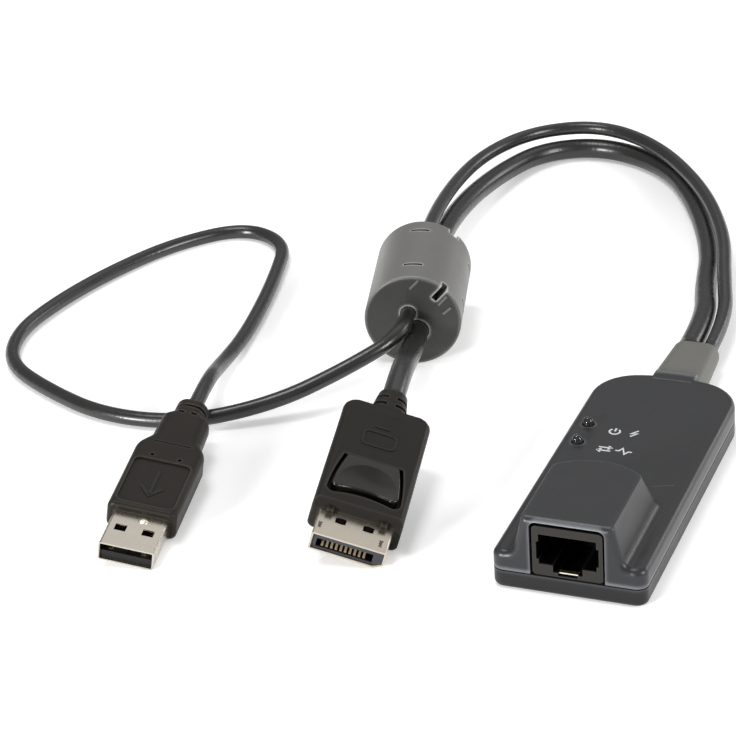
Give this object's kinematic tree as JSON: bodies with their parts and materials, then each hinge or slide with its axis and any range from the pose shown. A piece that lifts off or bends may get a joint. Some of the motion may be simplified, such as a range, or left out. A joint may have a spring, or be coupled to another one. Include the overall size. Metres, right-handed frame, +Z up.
{
  "type": "kvm dongle",
  "caption": "Small adapter case with a raised network jack and two lamps; a USB and a video cable leave its rear boot, share a round ferrite and end in plugs.",
  "frame": {"origin": "on the resting plane, under the middle of the case and its boot", "axes": "+Y along the case from the network jack to the cable boot, +Z up, +X to the right when looking along +Y"},
  "size_m": [0.1812, 0.2308, 0.0228],
  "materials": {
    "case_plastic": "fine matt texture, charcoal",
    "board_laminate": "green solder mask",
    "jack_plastic": "smooth matt black",
    "gold_contacts": "gold plated",
    "chip_epoxy": "moulded epoxy",
    "bright_metal": "satin can",
    "header_plastic": "natural nylon",
    "lead_plastic": "wire insulation",
    "lamp_lens": "clear polished dome",
    "lamp_chip": "light emitting chip",
    "screw_steel": "dark zinc",
    "boot_rubber": "matt warm grey",
    "cable_jacket": "satin soft plastic jacket",
    "ferrite_cover": "satin warm grey",
    "ferrite_ceramic": "sintered ceramic",
    "plug_steel": "nickel plated",
    "plug_carrier": "smooth black",
    "core_plastic": "inner mould",
    "usb_mould": "satin brown-black",
    "latch_steel": "spring steel",
    "video_mould": "satin brown-black",
    "button_plastic": "satin dark grey"
  },
  "bodies": {
    "adapter": {"active_lamp": "lamp_lens", "active_lamp_chip": "lamp_chip", "cable_boot": "boot_rubber", "capacitors": "bright_metal", "case_screws": "screw_steel", "circuit_board": "board_laminate", "clock_crystal": "bright_metal", "ferrite_core": "ferrite_ceramic", "ferrite_sleeve": "ferrite_cover", "lower_shell": "case_plastic", "main_chip": "chip_epoxy", "memory_chip": "chip_epoxy", "network_jack": "jack_plastic", "network_jack_pins": "gold_contacts", "network_jack_tab": "gold_contacts", "power_lamp": "lamp_lens", "power_lamp_chip": "lamp_chip", "upper_shell": "case_plastic", "usb_cable": "cable_jacket", "usb_header": "header_plastic", "usb_leads": "lead_plastic", "usb_plug_contacts": "gold_contacts", "usb_plug_core": "core_plastic", "usb_plug_cover": "usb_mould", "usb_plug_shell": "plug_steel", "usb_plug_tongue": "plug_carrier", "video_cable": "cable_jacket", "video_header": "header_plastic", "video_leads": "lead_plastic", "video_plug_board": "board_laminate", "video_plug_contacts": "gold_contacts", "video_plug_cover": "video_mould", "video_plug_insert": "plug_carrier", "video_plug_shell": "plug_steel"},
    "release_button": {"video_plug_button": "button_plastic"},
    "release_latch": {"video_plug_latch": "latch_steel"}
  },
  "joints": [
    {"name": "button_press", "type": "hinge", "parent": "adapter", "child": "release_button", "pos_m": [-0.04931, -0.0299, 0.01199], "axis": [0.9296, 0.2012, -0.3088], "range_deg": [0, 3.6], "stiffness_Nm_per_rad": 0.3, "springref_deg": -1.72},
    {"name": "latch_bend", "type": "hinge", "parent": "adapter", "child": "release_latch", "pos_m": [-0.05087, -0.02534, 0.01028], "axis": [0.9296, 0.2012, -0.3088], "range_deg": [0, 1.75], "stiffness_Nm_per_rad": 0.05}
  ],
  "couplings": [
    {"joint": "latch_bend", "follows": "button_press", "ratio": 0.476}
  ]
}
